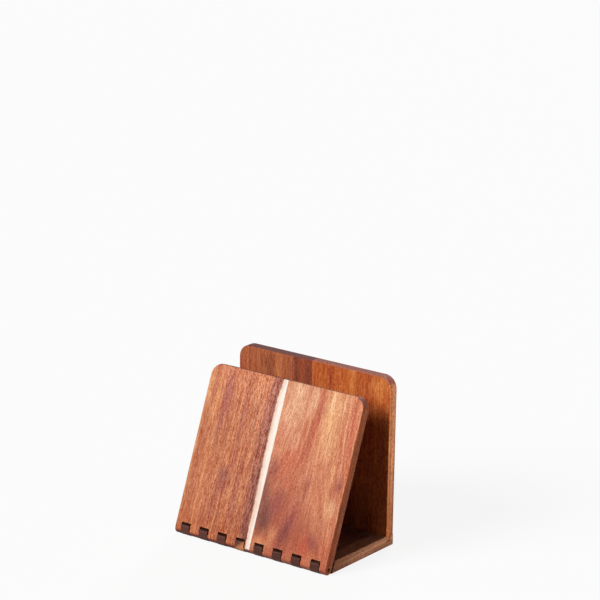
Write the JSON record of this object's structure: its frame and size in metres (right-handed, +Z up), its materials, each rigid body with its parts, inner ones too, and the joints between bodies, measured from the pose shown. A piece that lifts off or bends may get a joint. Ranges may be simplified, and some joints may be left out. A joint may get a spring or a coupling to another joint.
{
  "type": "napkin holder",
  "caption": "Wooden napkin holder with an upright back board and a front leaf that leans in on a pinned knuckle hinge along the base.",
  "frame": {"origin": "middle of the holder's footprint, on the surface it stands on", "axes": "+X along the hinge from the left end to the right end, +Y from the hinge to the back board, +Z up"},
  "size_m": [0.15, 0.091, 0.1405],
  "materials": {
    "base_wood": "oiled",
    "back_wood_left": "oiled",
    "back_wood_right": "oiled",
    "leaf_wood_left": "oiled",
    "leaf_wood_right": "oiled",
    "pin_steel": "plain drawn"
  },
  "bodies": {
    "base": {"base_stave_left": "base_wood", "base_stave_right": "base_wood", "back_stave_left": "back_wood_left", "back_stave_right": "back_wood_right", "hinge_pin_left": "pin_steel", "hinge_pin_right": "pin_steel"},
    "front_leaf": {"front_stave_left": "leaf_wood_left", "front_stave_right": "leaf_wood_right"}
  },
  "joints": [
    {"name": "leaf_hinge", "type": "hinge", "parent": "base", "child": "front_leaf", "pos_m": [0, -0.0409, 0.0046], "axis": [1, 0, 0], "range_deg": [0, 110]}
  ]
}
